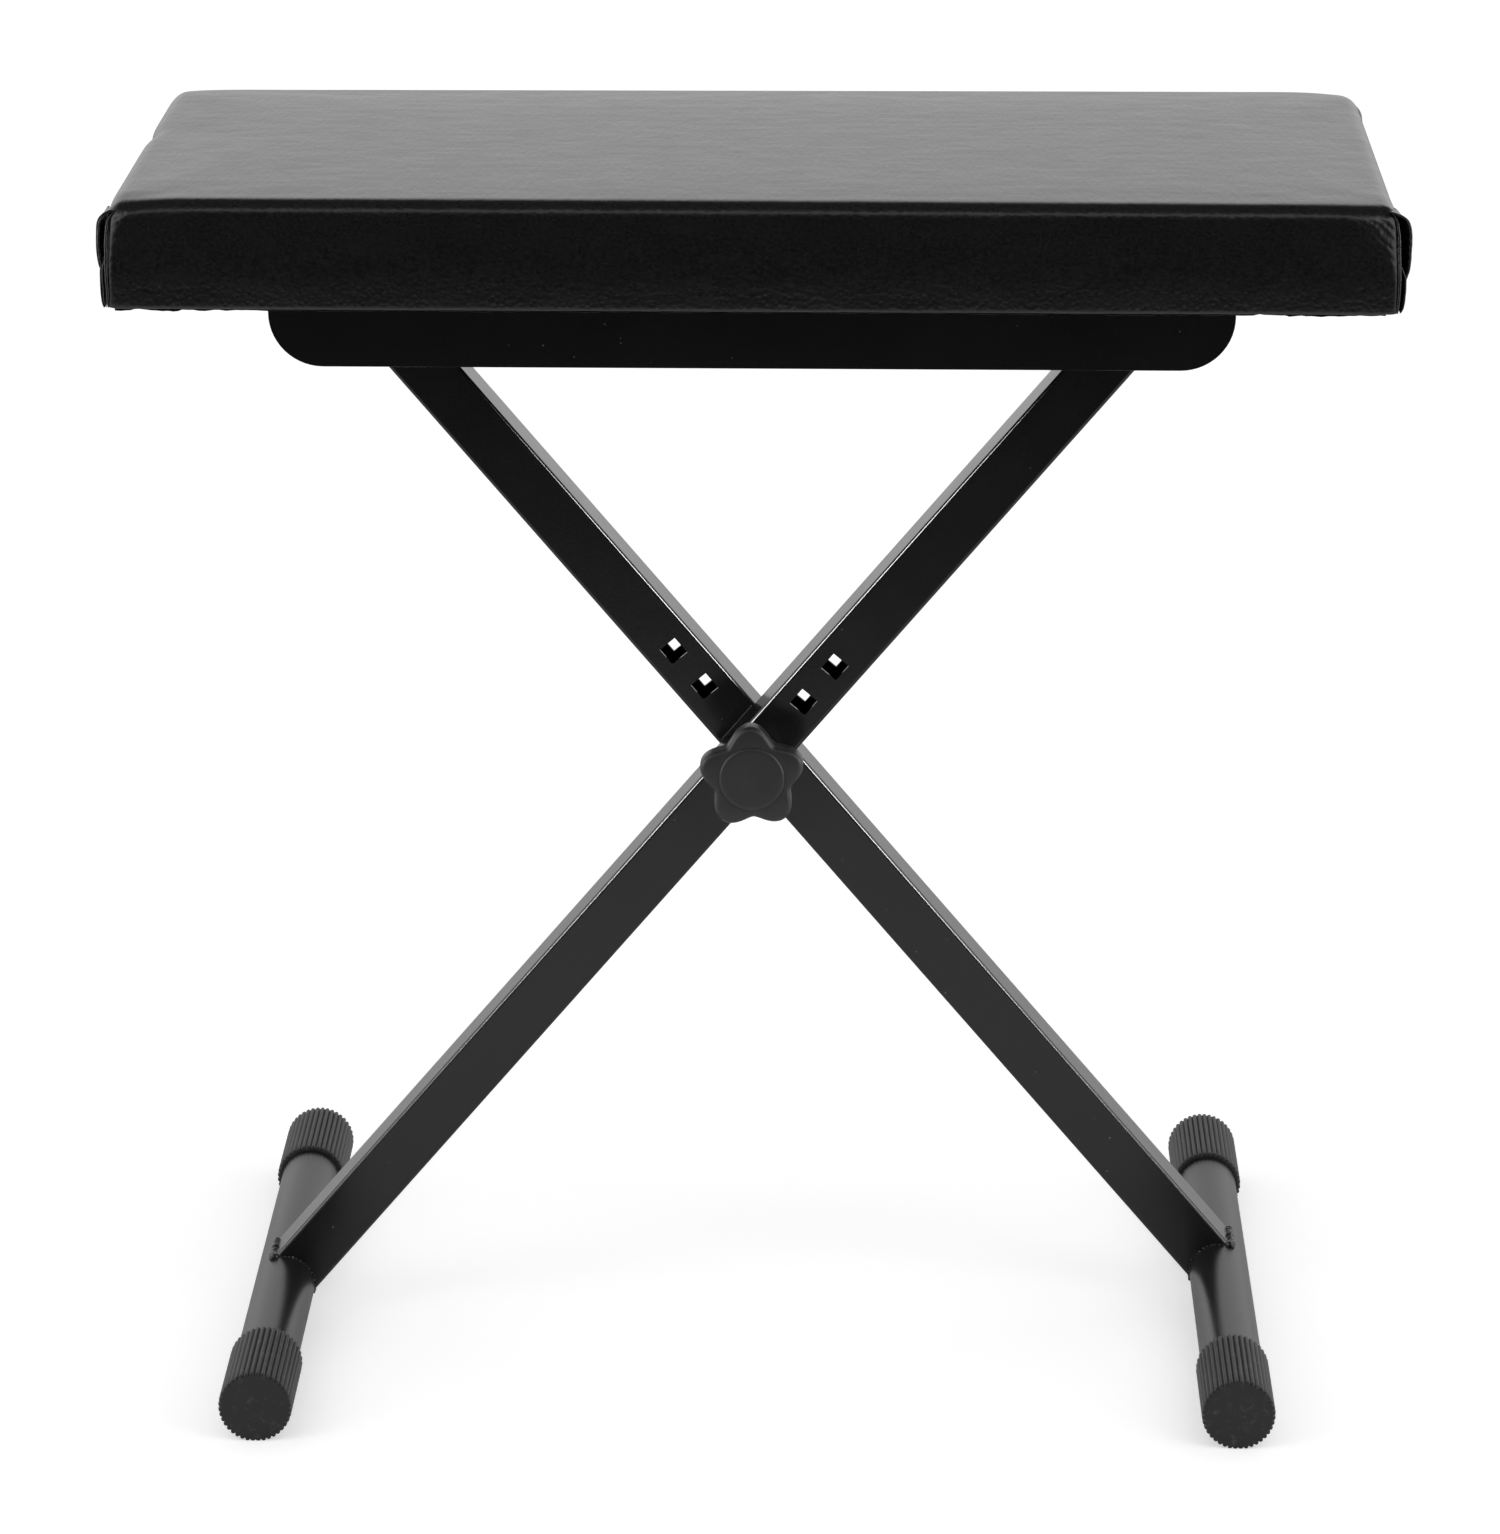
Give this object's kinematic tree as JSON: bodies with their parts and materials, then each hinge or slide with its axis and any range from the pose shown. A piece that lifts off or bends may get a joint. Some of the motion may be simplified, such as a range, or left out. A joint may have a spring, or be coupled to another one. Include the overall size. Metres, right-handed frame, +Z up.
{
  "type": "folding keyboard bench",
  "caption": "Padded bench seat on crossed square-tube legs with capped foot bars, star knob at the crossing to lock its height or fold it flat.",
  "frame": {"origin": "on the floor under the middle of the seat", "axes": "+X along the seat's length, +Y from the knob side to the back, +Z up"},
  "size_m": [0.56, 0.358, 0.5585],
  "materials": {
    "vinyl": "satin",
    "foam": "matte",
    "plywood": "matte",
    "dust_cloth": "matte",
    "black_steel": "satin",
    "zinc_steel": "satin",
    "black_rubber": "matte",
    "nylon": "satin",
    "black_plastic": "matte",
    "brass": "satin"
  },
  "bodies": {
    "seat": {"seat_cover": "vinyl", "seat_foam": "foam", "seat_board": "plywood", "dust_cover": "dust_cloth", "cover_staples": "zinc_steel", "front_rail": "black_steel", "rear_rail": "black_steel", "rail_screws": "zinc_steel", "rail_washers": "zinc_steel", "tee_nuts": "zinc_steel", "right_pivot_studs": "zinc_steel", "left_pivot_studs": "zinc_steel"},
    "front_leg": {"front_leg_tube": "black_steel", "front_leg_cross_tube": "black_steel", "front_leg_bushes": "nylon", "left_foot_tube": "black_steel", "left_foot_front_cap": "black_rubber", "left_foot_rear_cap": "black_rubber", "clamp_bolt_threaded_half": "zinc_steel"},
    "rear_leg": {"rear_leg_tube": "black_steel", "rear_leg_cross_tube": "black_steel", "rear_leg_bushes": "nylon", "right_foot_tube": "black_steel", "right_foot_front_cap": "black_rubber", "right_foot_rear_cap": "black_rubber"},
    "clamp_bolt": {"clamp_bolt_head_half": "zinc_steel"},
    "knob_washer": {"knob_washer": "zinc_steel"},
    "knob": {"clamp_knob": "black_plastic", "knob_insert": "brass", "knob_cap": "black_plastic"}
  },
  "joints": [
    {"name": "front_leg_fold", "type": "hinge", "parent": "seat", "child": "front_leg", "pos_m": [0.178, 0, 0.48479], "axis": [0, 1, 0], "range_deg": [0, 45]},
    {"name": "rear_leg_fold", "type": "hinge", "parent": "seat", "child": "rear_leg", "pos_m": [-0.178, 0, 0.48479], "axis": [0, -1, 0], "range_deg": [0, 45]},
    {"name": "bolt_pull", "type": "slide", "parent": "rear_leg", "child": "clamp_bolt", "axis": [0, 1, 0], "range_m": [0, 0.03]},
    {"name": "knob_travel", "type": "slide", "parent": "front_leg", "child": "knob_washer", "axis": [0, -1, 0], "range_m": [0, 0.015]},
    {"name": "knob_turn", "type": "hinge", "parent": "knob_washer", "child": "knob", "pos_m": [0, -0.05, 0.27517], "axis": [0, -1, 0], "range_deg": [0, 4325]}
  ],
  "couplings": [
    {"joint": "rear_leg_fold", "follows": "front_leg_fold", "ratio": 1},
    {"joint": "knob_turn", "follows": "knob_travel", "rad_per_m": 5026.5}
  ]
}
